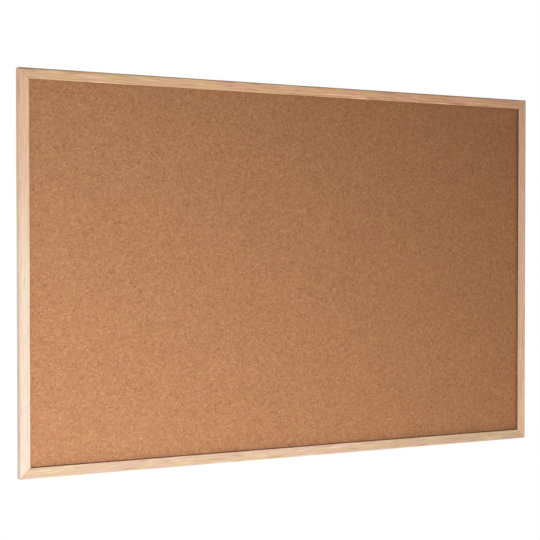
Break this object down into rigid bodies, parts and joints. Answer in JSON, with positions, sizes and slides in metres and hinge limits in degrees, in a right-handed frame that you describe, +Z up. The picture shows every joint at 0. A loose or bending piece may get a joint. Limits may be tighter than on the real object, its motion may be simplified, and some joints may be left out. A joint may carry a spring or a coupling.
{
  "type": "cork bulletin board",
  "caption": "Rectangular cork pinboard in a mitred pale wood frame with an undercut lip, backed with softboard and hung by D-rings on folded steel straps.",
  "frame": {"origin": "the middle of the top rail's rear face, which is the board's wall side", "axes": "+X along the width, +Y out of the back towards the wall, +Z up; the cork faces -Y"},
  "size_m": [0.9, 0.0185, 0.6],
  "materials": {
    "frame_wood": "satin",
    "cork": "matte",
    "softboard": "matte",
    "greyboard": "matte",
    "zinc_steel": "satin",
    "spring_steel": "satin",
    "rubber": "matte"
  },
  "bodies": {
    "board": {"frame_top_rail": "frame_wood", "frame_bottom_rail": "frame_wood", "frame_left_stile": "frame_wood", "frame_right_stile": "frame_wood", "cork_sheet": "cork", "softboard_core": "softboard", "backing_sheet": "greyboard", "corner_nail_top_left": "spring_steel", "corner_nail_top_right": "spring_steel", "corner_nail_bottom_left": "spring_steel", "corner_nail_bottom_right": "spring_steel", "panel_points_top": "spring_steel", "panel_points_bottom": "spring_steel", "panel_points_left": "spring_steel", "panel_points_right": "spring_steel", "hanger_strap_left": "zinc_steel", "hanger_strap_right": "zinc_steel", "hanger_screws_left": "zinc_steel", "hanger_screws_right": "zinc_steel", "wall_bumper_left": "rubber", "wall_bumper_right": "rubber"},
    "ring_left": {"d_ring_left": "zinc_steel"},
    "ring_right": {"d_ring_right": "zinc_steel"}
  },
  "joints": [
    {"name": "ring_left_swing", "type": "hinge", "parent": "board", "child": "ring_left", "pos_m": [-0.4437, 0.00165, -0.115], "axis": [1, 0, 0], "range_deg": [0, 175]},
    {"name": "ring_right_swing", "type": "hinge", "parent": "board", "child": "ring_right", "pos_m": [0.4437, 0.00165, -0.115], "axis": [1, 0, 0], "range_deg": [0, 175]}
  ]
}
